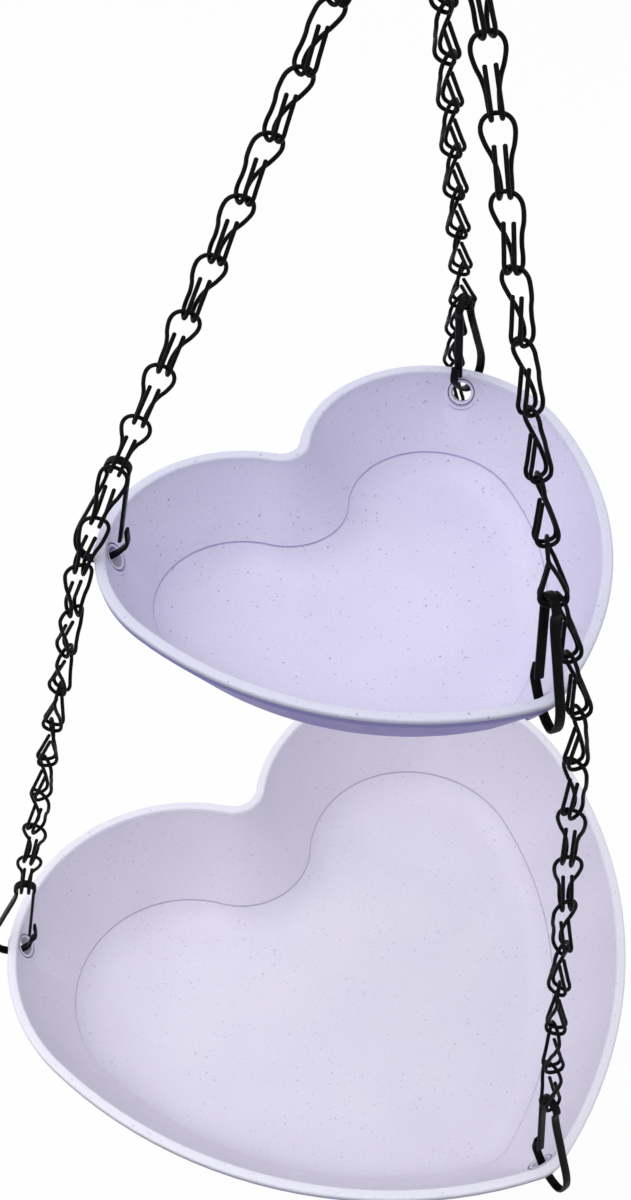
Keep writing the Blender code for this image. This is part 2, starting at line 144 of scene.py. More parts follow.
# Turn of each upper strand in degrees: at its top beyond the ring's axis, at its end beyond the clip
UPPER_TURNS = {"left": (0, 0), "right": (13, 19), "tip": (0, -24)}
TURN_EASE = 1.12

# Turn of the second and third links of each lower strand, beyond the heading of the clip, in degrees
LOWER_TURNS = {"left": (16, 32), "right": (0, 0), "tip": (0, 0)}

# Where the lower strands leave the upper clips and pass the upper rim
CLIP_ASIDE = 0.0012
STRAND_ASIDE = 0.0022
STRAND_LIFT = 0.0006
LEAN_OUT = 0.0145
LEAN_ASIDE = 0.0030
BEND_LIFT = 0.0005

# Spring clips of flat strip: (outward, upward) from the centre of the hole
CLIP_WIDTH = 0.0036
CLIP_THICKNESS = 0.0014
CLIP_HEIGHT = 0.0467
CLIP_LEAN = 0.0050
UPPER_CLIP_TURN = math.radians(-16)
BULB_RADIUS = 0.0044
BULB_ANGLES = (215, 170, 130, 90, 50, 10, -30)
HOOK_SEAT = 0.0009
LEG_POINTS = ((0.0066, 0.0250), (0.0122, 0.0110), (0.0122, 0.0040), (0.0092, -0.0008))
HOLE_REACH = 0.0036
HOLE_SWEEP = 0.0031
JAW_POINTS = ((-0.0050, 0.0066), (-0.0070, 0.0096), (-0.0070, 0.0165))
GATE_END = (-0.0044, 0.0114)
GATE_GAP = 0.0002
FIRM_PLAY = 0.0003
LOOSE_PLAY = 0.0022
STRIP_SIDES = 20
STRIP_POWER = 0.5
CLIP_STEPS = 6
GATE_STEPS = 8

# Rounded ends of a strip: (length in thicknesses, share of the thickness that is left)
STRIP_ENDS = ((0.10, 0.93), (0.16, 0.78))

# Ring and hook at the top
RING_RADIUS = 0.0110
RING_WIRE = 0.0015
RING_PLACES = (0.0, 0.0058, -0.0053)
HOOK_WIRE = 0.0018
HOOK_BOWL = 0.0085
HOOK_CROWN = 0.0120
HOOK_SHANK = 0.0230
HOOK_MOUTH = math.radians(20)
SEAT_GAP = 0.0003
TOP_HOOK_STEPS = 30
TOP_HOOK_SMOOTHING = 2
RING_STEPS = 72

# Distances between the middles of wires that bear on each other
RING_SEAT = WIRE_RADIUS + RING_WIRE + SEAT_GAP
WELDED_SEAT = 2 * WIRE_RADIUS - WELD_DEPTH
LOOSE_SEAT = 2 * WIRE_RADIUS + LINK_GAP

# Height of a strand's seat in a clip above the centre of the hole
SEAT_HEIGHT = CLIP_HEIGHT + HOOK_SEAT

STRANDS = ("left", "right", "tip")
UP = Vector((0, 0, 1))

# Colours of each dish, and the contrast of its grain and specks; the colour of the rim band is painted
# light, and that of the outside painted shade
UPPER_LOOK = {"pale": (0.69, 0.655, 0.805), "deep": (0.65, 0.61, 0.77), "lit_lip": (0.66, 0.65, 0.775),
              "outside": (0.39, 0.34, 0.78), "contrast": 1.0}
LOWER_LOOK = {"pale": (0.785, 0.745, 0.84), "deep": (0.75, 0.71, 0.815), "lit_lip": (0.83, 0.815, 0.89),
              "outside": (0.58, 0.52, 0.82), "contrast": 0.7}
# Colour of the painted shade in creases and grooves
CREASE_SHADE_COLOUR = (0.22, 0.19, 0.36)
GRAIN_COLOUR = (0.40, 0.37, 0.58)
SPECK_COLOUR = (0.17, 0.14, 0.27)

# Noise of the plastic: (cells per metre, detail)
MOTTLE = (26, 3)
GRAIN = (1300, 2)
CROWD = (55, 2)
PLASTIC_SHEEN = (120, 4)

# Finish of the plastic, with painted shade on its outside and in its creases and painted light on its rim
# band: shares of colours, and the ranges in which they change
GRAIN_SHARE = 0.16
CROWD_RANGE = (0.38, 0.58)
SPARSE_SHARE = 0.25
SHADED_OUTSIDE_FACING = (-0.14, -0.06)
LIT_LIP_BLEND = 0.05
CREASE_REACH = 0.0016
CREASE_OPEN = (0.45, 0.90)
CREASE_SHADE = 0.75
CREASE_SAMPLES = 6
PLASTIC_ROUGHNESS = (0.34, 0.48)
INSIDE_SPECULAR = 0.30
OUTSIDE_SPECULAR = 0.06

# Specks of the plastic: (cells per metre, radius in a cell, share of cells, strength)
SPECKS = ((760, 0.24, 0.45, 0.18), (420, 0.20, 0.50, 0.42), (260, 0.14, 0.40, 0.66))

# Share of a speck's radius that is evenly dark
SPECK_CORE = 0.6

# Unevenness of a surface: (cells per metre, detail, height, strength)
PLASTIC_WAVES = (60, 2, 0.0006, 0.12)
PLASTIC_TEXTURE = (900, 3, 0.0002, 0.25)
COAT_PEEL = (1600, 2, 0.0001, 0.30)

# Coat of the wire: its noise is (cells per metre, detail), and for scuffs roughness too
COAT = (700, 3)
COAT_COLOURS = ((0.0015, 0.0015, 0.0018), (0.0045, 0.0045, 0.0056))
COAT_SHEEN = (500, 3)
COAT_SPECULAR = 0.06
SCUFF = (420, 5, 0.65)
SCUFF_COLOUR = (0.055, 0.055, 0.062)
SCUFF_STOPS = ((0.63, 0.0), (0.72, 1.0))

# Finish of each kind of wire: (least roughness, greatest roughness, strength of scuffs)
CHAIN_FINISH = (0.34, 0.52, 0.25)
STRIP_FINISH = (0.30, 0.46, 0.18)
FITTING_FINISH = (0.32, 0.50, 0.35)

# Camera and stage
CAMERA_PLACE = (-0.3044, -0.3493, 0.1229)
CAMERA_YAW = math.radians(37.30)
CAMERA_PITCH = math.radians(42.34)
CAMERA_ROLL = math.radians(2.12)
FOCAL_PIXELS = 1781.5
OPTICAL_AXIS = (300.0, 440.0)
IMAGE_SIZE = (631, 1200)
SENSOR = 36.0
NEAR_LIMIT = 0.01
FLOOR_HEIGHT = -1.0
FLOOR_HALF = 12.0
FLOOR_SEEN = (0.93, 0.93, 0.93)
FLOOR_BOUNCE = (0.24, 0.24, 0.25)
FLOOR_GLOW = 0.90
FLOOR_ROUGHNESS = 0.9
FLOOR_SPECULAR = 0.1
WHITE = (1, 1, 1, 1)
SKY_COLOUR = (0.94, 0.96, 1, 1)
SKY_STRENGTH = (0.37, 0.80)
SKY_RISE = 0.6

# Lights: (place, diameter, watts), all aimed between the dishes
LIGHT_TARGET = (0, 0, -0.45)
KEY_LIGHT = ((-0.95, 0.50, 1.35), 3.0, 30.0)
FILL_LIGHT = ((0.70, -1.30, 0.30), 1.4, 1.6)


# Materials

def new_material(name):
    made = bpy.data.materials.new(name)
    made.use_nodes = True
    tree = made.node_tree
    return made, tree, tree.nodes["Principled BSDF"]


def add_node(tree, kind, **settings):
    """Node of a kind, with its properties set by name."""
    node = tree.nodes.new(kind)
    for name, value in settings.items():
        setattr(node, name, value)
    return node


def noise(tree, place, scale, detail, roughness=0.5):
    node = add_node(tree, "ShaderNodeTexNoise")
    node.inputs["Scale"].default_value = scale
    node.inputs["Detail"].default_value = detail
    node.inputs["Roughness"].default_value = roughness
    tree.links.new(place, node.inputs["Vector"])
    return node.outputs["Fac"]


def ramp(tree, value, stops):
    """Ramp between two stops, each a position and a grey."""
    node = add_node(tree, "ShaderNodeValToRGB")
    for element, (position, grey) in zip(node.color_ramp.elements, stops):
        element.position = position
        element.color = (grey, grey, grey, 1)
    tree.links.new(value, node.inputs["Fac"])
    return node.outputs["Color"]


def mix_colour(tree, share, first, second):
    """Mix of two colours, each a socket or a fixed colour, by a share from a socket."""
    node = add_node(tree, "ShaderNodeMix", data_type="RGBA")
    sockets = [s for s in node.inputs if s.enabled]
    for socket, value in zip(sockets, (share, first, second)):
        if isinstance(value, bpy.types.NodeSocket):
            tree.links.new(value, socket)
        else:
            socket.default_value = (*value, 1)
    return [s for s in node.outputs if s.enabled][0]


def calculate(tree, operation, first, second):
    node = add_node(tree, "ShaderNodeMath", operation=operation)
    for socket, value in zip(node.inputs, (first, second)):
        if isinstance(value, bpy.types.NodeSocket):
            tree.links.new(value, socket)
        else:
            socket.default_value = value
    return node.outputs["Value"]


def spread(tree, value, low, high, start=0.3, end=0.7):
    """Value spread from its own range, that of noise unless given, over another."""
    node = add_node(tree, "ShaderNodeMapRange")
    node.inputs["From Min"].default_value = start
    node.inputs["From Max"].default_value = end
    node.inputs["To Min"].default_value = low
    node.inputs["To Max"].default_value = high
    tree.links.new(value, node.inputs["Value"])
    return node.outputs["Result"]


def bump(tree, place, unevenness, under=None):
    """Normal of an uneven surface, on top of another normal if one is given."""
    scale, detail, distance, strength = unevenness
    node = add_node(tree, "ShaderNodeBump")
    node.inputs["Strength"].default_value = strength
    node.inputs["Distance"].default_value = distance
    tree.links.new(noise(tree, place, scale, detail), node.inputs["Height"])
    if under is not None:
        tree.links.new(under, node.inputs["Normal"])
    return node.outputs["Normal"]


def specks(tree, place, scale, size, share):
    """Mask of small round specks in a share of the cells of a random grid."""
    cells = add_node(tree, "ShaderNodeTexVoronoi", feature="F1")
    cells.inputs["Scale"].default_value = scale
    tree.links.new(place, cells.inputs["Vector"])
    round_speck = ramp(tree, cells.outputs["Distance"], ((size * SPECK_CORE, 1.0), (size, 0.0)))
    split = add_node(tree, "ShaderNodeSeparateColor")
    tree.links.new(cells.outputs["Color"], split.inputs["Color"])
    chosen = calculate(tree, "LESS_THAN", split.outputs["Red"], share)
    return calculate(tree, "MULTIPLY", round_speck, chosen)


def dish_material(name, rim, pale, deep, lit_lip, outside, contrast):
    """Satin plastic: pale, softly mottled and specked, with painted light in the tone of its plain rim
    band and painted shade in its creases and in the deeper colour of its matt outside.
    """
    made, tree, shader = new_material(name)
    own_frame = add_node(tree, "ShaderNodeTexCoord").outputs
    place = own_frame["Object"]
    cloud = spread(tree, noise(tree, place, *MOTTLE), 0.0, 1.0)
    colour = mix_colour(tree, cloud, pale, deep)
    # Painted shade: faces turned down, the outside of the wall and the underside, take the darker, more
    # violet outside colour for the shade they stand in; the same share lowers the specular there
    facing = add_node(tree, "ShaderNodeSeparateXYZ")
    tree.links.new(own_frame["Normal"], facing.inputs["Vector"])
    outer = spread(tree, facing.outputs["Z"], 1.0, 0.0, *SHADED_OUTSIDE_FACING)
    colour = mix_colour(tree, outer, colour, outside)
    # Painted light: the top band of the rim, down to the edge under it, takes a tone of its own for the
    # light that the rim catches
    height = add_node(tree, "ShaderNodeSeparateXYZ")
    tree.links.new(place, height.inputs["Vector"])
    painted_lip_light = spread(tree, height.outputs["Z"], 0.0, 1.0,
                    rim - LIP_HEIGHT * (1 + LIT_LIP_BLEND), rim - LIP_HEIGHT * (1 - LIT_LIP_BLEND))
    colour = mix_colour(tree, painted_lip_light, colour, lit_lip)
    # Painted shade: occlusion within a short reach darkens the creases, the grooves, the holes and the
    # undercut below the rim band
    crease_occlusion = add_node(tree, "ShaderNodeAmbientOcclusion", samples=CREASE_SAMPLES, only_local=True)
    crease_occlusion.inputs["Distance"].default_value = CREASE_REACH
    shade = spread(tree, crease_occlusion.outputs["AO"], CREASE_SHADE, 0.0, *CREASE_OPEN)
    colour = mix_colour(tree, shade, colour, CREASE_SHADE_COLOUR)
    grain = spread(tree, noise(tree, place, *GRAIN), 0.0, GRAIN_SHARE * contrast)
    colour = mix_colour(tree, grain, colour, GRAIN_COLOUR)
    drift = noise(tree, place, *CROWD)
    for scale, size, share, strength in SPECKS:
        dark = strength * contrast
        crowd = spread(tree, drift, SPARSE_SHARE * dark, dark, *CROWD_RANGE)
        mask = specks(tree, place, scale, size, share)
        mask = calculate(tree, "MULTIPLY", mask, crowd)
        colour = mix_colour(tree, mask, colour, SPECK_COLOUR)
    tree.links.new(colour, shader.inputs["Base Color"])
    rough = spread(tree, noise(tree, place, *PLASTIC_SHEEN), *PLASTIC_ROUGHNESS)
    tree.links.new(rough, shader.inputs["Roughness"])
    specular = spread(tree, outer, INSIDE_SPECULAR, OUTSIDE_SPECULAR, 0.0, 1.0)
    tree.links.new(specular, shader.inputs["Specular IOR Level"])
    wavy = bump(tree, place, PLASTIC_WAVES)
    tree.links.new(bump(tree, place, PLASTIC_TEXTURE, wavy), shader.inputs["Normal"])
    return made


def wire_material(name, low, high, scuff):
    """Black coated steel: slightly uneven coat, dull sheen and a few grey scuffs."""
    made, tree, shader = new_material(name)
    place = add_node(tree, "ShaderNodeTexCoord").outputs["Object"]
    coat = spread(tree, noise(tree, place, *COAT), 0.0, 1.0)
    colour = mix_colour(tree, coat, *COAT_COLOURS)
    worn = ramp(tree, noise(tree, place, *SCUFF), SCUFF_STOPS)
    colour = mix_colour(tree, calculate(tree, "MULTIPLY", worn, scuff), colour, SCUFF_COLOUR)
    tree.links.new(colour, shader.inputs["Base Color"])
    rough = spread(tree, noise(tree, place, *COAT_SHEEN), low, high)
    tree.links.new(rough, shader.inputs["Roughness"])
    shader.inputs["Specular IOR Level"].default_value = COAT_SPECULAR
    tree.links.new(bump(tree, place, COAT_PEEL), shader.inputs["Normal"])
    return made


def seen_rays(tree):
    """Whether a ray comes from the camera, a mirror or glass, and whether from the camera alone."""
    rays = add_node(tree, "ShaderNodeLightPath").outputs
    seen = calculate(tree, "MAXIMUM", rays["Is Camera Ray"], rays["Is Glossy Ray"])
    return calculate(tree, "MAXIMUM", seen, rays["Is Transmission Ray"]), rays["Is Camera Ray"]


def floor_material():
    """White floor that keeps a soft shadow and throws little light back up."""
    made, tree, shader = new_material("studio_floor")
    seen, direct = seen_rays(tree)
    colour = mix_colour(tree, direct, FLOOR_BOUNCE, FLOOR_SEEN)
    tree.links.new(colour, shader.inputs["Base Color"])
    shader.inputs["Roughness"].default_value = FLOOR_ROUGHNESS
    shader.inputs["Specular IOR Level"].default_value = FLOOR_SPECULAR
    share = calculate(tree, "MULTIPLY", seen, FLOOR_GLOW)
    white = add_node(tree, "ShaderNodeEmission")
    white.inputs["Color"].default_value = WHITE
    white.inputs["Strength"].default_value = 1.0
    blend = add_node(tree, "ShaderNodeMixShader")
    tree.links.new(share, blend.inputs[0])
    tree.links.new(shader.outputs["BSDF"], blend.inputs[1])
    tree.links.new(white.outputs["Emission"], blend.inputs[2])
    tree.links.new(blend.outputs["Shader"], tree.nodes["Material Output"].inputs["Surface"])
    return made


# Meshes

def skin(bm, rings, closed=False):
    """Surface through rings of points, capped at both ends unless it is closed on itself."""
    rows = [[bm.verts.new(p) for p in ring] for ring in rings]
    pairs = list(zip(rows, rows[1:]))
    if closed:
        pairs.append((rows[-1], rows[0]))
    for low, high in pairs:
        for i in range(len(low)):
            j = (i + 1) % len(low)
            bm.faces.new((low[i], low[j], high[j], high[i]))
    if not closed:
        bm.faces.new(rows[0][::-1])
        bm.faces.new(rows[-1])


def finish_mesh(name, bm):
    bmesh.ops.recalc_face_normals(bm, faces=bm.faces)
    mesh = bpy.data.meshes.new(name)
    bm.to_mesh(mesh)
    bm.free()
    mesh.shade_smooth()
    mesh.set_sharp_from_angle(angle=SHARP_ANGLE)
    return mesh


def add_piece(name, mesh, material, body, slot, *nodes):
    """Piece of the object that rides on a body and stands for CAD nodes."""
    obj = bpy.data.objects.new(name, mesh)
    mesh.materials.append(material)
    bpy.context.scene.collection.objects.link(obj)
    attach(obj, body)
    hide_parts(*nodes)


def smooth_path(points, steps):
    """Points of a smooth curve through the given points."""
    ends = [2 * points[0] - points[1]] + points + [2 * points[-1] - points[-2]]
    path = []
    for p0, p1, p2, p3 in zip(ends, ends[1:], ends[2:], ends[3:]):
        k1 = (p1 - p0).length ** 0.5
        k2 = (p2 - p1).length ** 0.5
        k3 = (p3 - p2).length ** 0.5
        m1 = (p1 - p0) / k1 - (p2 - p0) / (k1 + k2) + (p2 - p1) / k2
        m2 = (p2 - p1) / k2 - (p3 - p1) / (k2 + k3) + (p3 - p2) / k3
        m1, m2 = m1 * k2, m2 * k2
        for i in range(steps):
            t = i / steps
            path.append((2 * t ** 3 - 3 * t ** 2 + 1) * p1 + (t ** 3 - 2 * t ** 2 + t) * m1
                        + (3 * t ** 2 - 2 * t ** 3) * p2 + (t ** 3 - t ** 2) * m2)
    return path + [points[-1]]


def tangents(path, closed=False):
    count = len(path)
    found = []
    for i in range(count):
        before = path[i - 1] if i or closed else path[0]
        after = path[(i + 1) % count] if i + 1 < count or closed else path[-1]
        found.append((after - before).normalized())
    return found


def wire_rings(path, radius, closed=False):
    """Round sections along a path, with domed ends where it is open."""
    along = tangents(path, closed)
    side = along[0].orthogonal().normalized()
    places = []
    for i, (point, way) in enumerate(zip(path, along)):
        if i:
            side = along[i - 1].rotation_difference(way) @ side
        side = (side - side.dot(way) * way).normalized()
        places.append((point, way, side.copy(), 1.0))
    if not closed:
        for end, sign in ((0, -1), (-1, 1)):
            point, way, across, _ = places[end]
            dome = []
            for angle in DOME_ANGLES:
                turn = math.radians(angle)
                top = point + way * sign * radius * DOME_LENGTH * math.sin(turn)
                dome.append((top, way, across, math.cos(turn)))
            places = dome[::-1] + places if end == 0 else places + dome
    rings = []
    for point, way, across, share in places:
        other = way.cross(across)
        ring = []
        for k in range(WIRE_SIDES):
            turn = 2 * math.pi * k / WIRE_SIDES
            ring.append(point + radius * share * (math.cos(turn) * across + math.sin(turn) * other))
        rings.append(ring)
    return rings


def wire_mesh(name, path, radius, matrix=None, closed=False):
    bm = bmesh.new()
    skin(bm, wire_rings(path, radius, closed), closed)
    if matrix:
        bm.transform(matrix)
    return finish_mesh(name, bm)


def strip_mesh(name, path, matrix):
    """Flat strip with rounded edges along a path in the XZ plane, its width along Y."""
    across = Vector((0, 1, 0))
    along = tangents(path)
    places = [(point, way, 1.0) for point, way in zip(path, along)]
    for end, sign in ((0, -1), (-1, 1)):
        point, way, _ = places[end]
        rounded = [(point + way * sign * CLIP_THICKNESS * beyond, way, share)
                   for beyond, share in STRIP_ENDS]
        places = rounded[::-1] + places if end == 0 else places + rounded
    rings = []
    for point, way, share in places:
        normal = way.cross(across)
        ring = []
        for k in range(STRIP_SIDES):
            turn = 2 * math.pi * k / STRIP_SIDES
            c, s = math.cos(turn), math.sin(turn)
            thick = math.copysign(abs(c) ** STRIP_POWER, c) * CLIP_THICKNESS / 2 * share
            edge = CLIP_WIDTH / 2 - CLIP_THICKNESS / 2 * (1 - share)
            wide = math.copysign(abs(s) ** STRIP_POWER, s) * edge
            ring.append(point + thick * normal + wide * across)
        rings.append(ring)
    bm = bmesh.new()
    skin(bm, rings)
    bm.transform(matrix)
    return finish_mesh(name, bm)


# Heart outline

def arc(centre, radius, start, end, steps):
    angles = [start + (end - start) * i / steps for i in range(steps + 1)]
    return [centre + radius * Vector((math.cos(a), math.sin(a))) for a in angles]


def side_centre(width):
    """Centre of the long arc of the right side, which touches the lobe and the tip from within."""
    lobe = Vector((LOBE_OFFSET, 0)) * width
    tip = Vector((0, TIP_CENTRE)) * width
    to_lobe = (SIDE_RADIUS - LOBE_RADIUS) * width
    to_tip = (SIDE_RADIUS - TIP_RADIUS) * width
    span = tip - lobe
    along = (to_lobe ** 2 - to_tip ** 2 + span.length_squared) / (2 * span.length)
    across = math.sqrt(to_lobe ** 2 - along ** 2)
    unit = span.normalized()
    return lobe + along * unit + across * Vector((unit.y, -unit.x))


def heading(vector):
    return math.atan2(vector.y, vector.x)


def tip_circle(width, inset):
    """Height of the centre and radius of the tip's arc at an inset from the rim."""
    centre = side_centre(width)
    radius = TIP_RADIUS * width + TIP_GROWTH * inset
    reach = SIDE_RADIUS * width - inset - radius
    return centre.y - math.sqrt(reach ** 2 - centre.x ** 2), radius


def heart(width, inset):
    """Closed outline of the heart at an inset from the rim, about the dish's centre of mass."""
    lobe = Vector((LOBE_OFFSET * width, 0))
    lobe_radius = LOBE_RADIUS * width - inset
    side = side_centre(width)
    tip_y, tip_radius = tip_circle(width, inset)
    tip = Vector((0, tip_y))
    notch_radius = NOTCH_RADIUS * width + NOTCH_GROWTH * inset
    notch = Vector((0, math.sqrt((lobe_radius + notch_radius) ** 2 - lobe.x ** 2)))
    into_lobe = heading(lobe - notch)
    lobe_end = heading(lobe - side)
    tip_start = heading(tip - side)
    half = arc(notch, notch_radius, -math.pi / 2, into_lobe, NOTCH_STEPS)
    half += arc(lobe, lobe_radius, into_lobe + math.pi, lobe_end, LOBE_STEPS)[1:]
    half += arc(side, SIDE_RADIUS * width - inset, lobe_end, tip_start, SIDE_STEPS)[1:]
    half += arc(tip, tip_radius, tip_start, -math.pi / 2, TIP_STEPS)[1:]
    other = [Vector((-p.x, p.y)) for p in half[-2:0:-1]]
    middle = Vector((0, CENTRE_OF_MASS * width))
    return [p - middle for p in half + other]


# Dishes

def wall_inset(drop):
    """How far the outside of the wall has come in at a drop below the rim."""
    return RIM_OVERHANG + max(drop - RIM_HEIGHT, 0) * math.tan(WALL_ANGLE)


def corner(inset, drop, radius):
    """Round corner between the wall and the flat, as (inset, drop) pairs from wall to flat."""
    start = Vector((inset - radius * math.sin(WALL_ANGLE), drop - radius * math.cos(WALL_ANGLE)))
    end = Vector((inset + radius, drop))
    turn = Vector((inset, drop))
    shares = [i / CORNER_STEPS for i in range(CORNER_STEPS + 1)]
    return [(1 - t) ** 2 * start + 2 * t * (1 - t) * turn + t ** 2 * end for t in shares]


def rim_corner(inset, drop, start, end):
    """Quarter round of the rim about a centre, from one angle to another in degrees."""
    centre = Vector((inset, drop))
    return arc(centre, RIM_ROUND, math.radians(start), math.radians(end), RIM_STEPS)


def crease(place):
    """Fine groove along the inside of the wall, just above the round of the floor."""
    along = Vector((math.sin(WALL_ANGLE), math.cos(WALL_ANGLE)))
    bottom = place + CREASE_DEPTH * Vector((-along.y, along.x))
    return [place - along * CREASE_WIDTH / 2, bottom - along * CREASE_WIDTH / 8,
            bottom + along * CREASE_WIDTH / 8, place + along * CREASE_WIDTH / 2]


def dish_profile(depth):
    """Run of (inset, drop) from the middle of the underside over the rim to the floor."""
    across = WALL / math.cos(WALL_ANGLE)
    floor = depth - WALL
    outside = corner(wall_inset(depth), depth, UNDERSIDE_ROUND)[::-1]
    under = wall_inset(RIM_HEIGHT)
    rim = [Vector((under + RIM_UNDERCUT, RIM_HEIGHT + RIM_UNDERCUT / math.tan(WALL_ANGLE)))]
    rim += [Vector((under, RIM_HEIGHT)), Vector((under - RIM_UNDERCUT, LIP_HEIGHT + RIM_UNDERCUT))]
    rim += [Vector((LIP_EDGE, LIP_HEIGHT)), Vector((LIP_EDGE / 2, LIP_HEIGHT - LIP_EDGE))]
    rim += rim_corner(RIM_ROUND, RIM_ROUND, 180, 270)
    rim += rim_corner(RIM_WIDTH - RIM_ROUND, RIM_ROUND, 270, 360)
    rim += [Vector((RIM_WIDTH + RIM_FLARE, RIM_FOOT))]
    inside = corner(wall_inset(floor) + across, floor, FLOOR_ROUND)
    return outside + rim + crease(inside[0]) + inside[1:]


def hole_frames(width):
    """Centre of each clip hole in the wall, from the centre of mass at rim height, and its heading."""
    inset = wall_inset(HOLE_BELOW_RIM) + WALL / math.cos(WALL_ANGLE) / 2
    middle = Vector((0, CENTRE_OF_MASS * width))
    tip_y, tip_radius = tip_circle(width, inset)
    frames = {"tip": (Vector((0, tip_y - tip_radius)), Vector((0, -1)))}
    for name, sign in (("left", -1), ("right", 1)):
        normal = Vector((sign * math.cos(HOLE_ANGLE), math.sin(HOLE_ANGLE)))
        lobe = Vector((sign * LOBE_OFFSET * width, 0))
        frames[name] = (lobe + (LOBE_RADIUS * width - inset) * normal, normal)
    return {
        name: ((place - middle).to_3d() - HOLE_BELOW_RIM * UP, normal.to_3d())
        for name, (place, normal) in frames.items()
    }


def hole_turns(width, rim):
    """Frame of each hole, with Z out of the wall, and whether it is at the tip."""
    turns = []
    for name, (place, normal) in hole_frames(width).items():
        axis = normal * math.cos(WALL_ANGLE) - UP * math.sin(WALL_ANGLE)
        turn = axis.to_track_quat("Z", "Y").to_matrix().to_4x4()
        turns.append((Matrix.Translation(place + UP * rim) @ turn, name == "tip"))
    return turns


def collar_rings(matrix, at_tip):
    """Rounded collar through the wall, turned about the axis of its hole."""
    out = WALL / 2 + (0 if at_tip else COLLAR_PROUD)
    into = -WALL / 2 - COLLAR_PROUD - (TIP_COLLAR_DEPTH if at_tip else 0)
    r = COLLAR_ROUND
    section = []
    for face, way, start in ((into, 1, 180), (out, -1, 0)):
        inner = Vector((HOLE_RADIUS + r, face + r * way))
        edge = TIP_COLLAR_RADIUS if at_tip and way < 0 else COLLAR_RADIUS
        outer = Vector((edge - r, face + r * way))
        groove = [Vector((GROOVE_INNER, face)), Vector((GROOVE_INNER + r, face + GROOVE_DEPTH * way)),
                  Vector((GROOVE_OUTER - r, face + GROOVE_DEPTH * way)), Vector((GROOVE_OUTER, face))]
        first, second = (inner, outer) if way > 0 else (outer, inner)
        section += arc(first, r, math.radians(start), math.radians(start + 90), COLLAR_STEPS)
        if edge > GROOVE_OUTER + r:
            section += groove if way > 0 else groove[::-1]
        section += arc(second, r, math.radians(start + 90), math.radians(start + 180), COLLAR_STEPS)
    rings = []
    for k in range(COLLAR_SIDES):
        turn = 2 * math.pi * k / COLLAR_SIDES
        c, s = math.cos(turn), math.sin(turn)
        rings.append([matrix @ Vector((p.x * c, p.x * s, p.y)) for p in section])
    return rings


def make_dish(name, width, depth, rim, material, body, node):
    """Heart-shaped dish with its three holes, and a collar in each."""
    bm = bmesh.new()
    skin(bm, [[(p.x, p.y, rim - drop) for p in heart(width, inset)]
              for inset, drop in dish_profile(depth)])
    bowl = bpy.data.objects.new("bowl", finish_mesh("bowl", bm))
    bm = bmesh.new()
    for matrix, _ in hole_turns(width, rim):
        bmesh.ops.create_cone(bm, cap_ends=True, segments=COLLAR_SIDES, radius1=COLLAR_CUT,
                              radius2=COLLAR_CUT, depth=DRILL_LENGTH, matrix=matrix)
    drill = bpy.data.objects.new("drill", finish_mesh("drill", bm))
    for obj in (bowl, drill):
        bpy.context.scene.collection.objects.link(obj)
    cut = bowl.modifiers.new("holes", "BOOLEAN")
    cut.operation = "DIFFERENCE"
    cut.solver = "EXACT"
    cut.object = drill
    bored = bpy.data.meshes.new_from_object(bowl.evaluated_get(bpy.context.evaluated_depsgraph_get()))
    bm = bmesh.new()
    bm.from_mesh(bored)
    for obj in (bowl, drill):
        bpy.data.objects.remove(obj)
    for matrix, at_tip in hole_turns(width, rim):
        skin(bm, collar_rings(matrix, at_tip), closed=True)
    add_piece(name, finish_mesh(name, bm), material, body, "dish_plastic", node)


# Chain links and clips

def link_path(pitch, seat, depth):
    """Wire of one link: up from the end of a hook, round it, up the leg, over the arch and back."""
    bottom = -pitch - seat
    tip = Vector(HOOK_TIP)
    half = [tip, Vector((HOOK_HALF, -depth * HOOK_BACK, (tip.z + bottom) / 2 - HOOK_SAG))]
    for share, height in HOOK_CURVE:
        half.append(Vector((HOOK_HALF, depth * share, bottom + height)))
    for aside, share, height in LEG_CURVE:
        half.append(Vector((HOOK_HALF + aside, depth * share, bottom + height)))
    for degrees in ARCH_ANGLES:
        c, s = math.cos(math.radians(degrees)), math.sin(math.radians(degrees))
        half.append(Vector((ARCH_HALF * c ** (2 / ARCH_POWER), 0,
                            ARCH_DROP * (s ** (2 / ARCH_POWER) - 1))))
    points = half + [Vector((0, 0, 0))] + [Vector((-p.x, p.y, p.z)) for p in reversed(half)]
    return smooth_path(points, LINK_STEPS)


def frame_matrix(place, upward, across):
    """Frame with Z along upward and X as near to across as that allows."""
    z = upward.normalized()
    x = (across - across.dot(z) * z).normalized()
    turn = Matrix((x, z.cross(x), z)).transposed().to_4x4()
    return Matrix.Translation(place) @ turn


def strand_frames(top, bottom, count, pitch, start_across, end_across, twist=0.0, ease=1.0):
    """Frames of a straight run of links turning between two headings and by a twist, evenly at ease 1."""
    upward = (top - bottom).normalized()
    first = frame_matrix(top, upward, start_across)
    last = frame_matrix(top, upward, end_across)
    swing = (first.inverted() @ last).to_euler("XYZ").z + twist
    frames = []
    for i in range(count):
        turn = Matrix.Rotation(swing * (i / max(count - 1, 1)) ** ease, 4, "Z")
        frames.append(Matrix.Translation(-upward * pitch * i) @ first @ turn)
    return frames


def clip_points(play):
    """Strip of a clip from the loose side of its bulb, through the hole, to the end of its jaw."""
    bulb = Vector((-CLIP_LEAN, CLIP_HEIGHT))
    points = []
    for angle in BULB_ANGLES:
        turn = math.radians(angle)
        points.append(bulb + BULB_RADIUS * Vector((math.cos(turn), math.sin(turn))))
    inward = Vector((-math.cos(WALL_ANGLE), math.sin(WALL_ANGLE)))
    lifted = Vector((math.sin(WALL_ANGLE), math.cos(WALL_ANGLE)))
    chord = math.sqrt(HOLE_RADIUS ** 2 - HOLE_SWEEP ** 2)
    in_hole = lifted * (chord - CLIP_THICKNESS / 2 - play)
    points += [Vector(p) for p in LEG_POINTS]
    points += [in_hole - inward * HOLE_REACH, in_hole + inward * HOLE_REACH]
    points += [Vector(p) for p in JAW_POINTS]
    return points


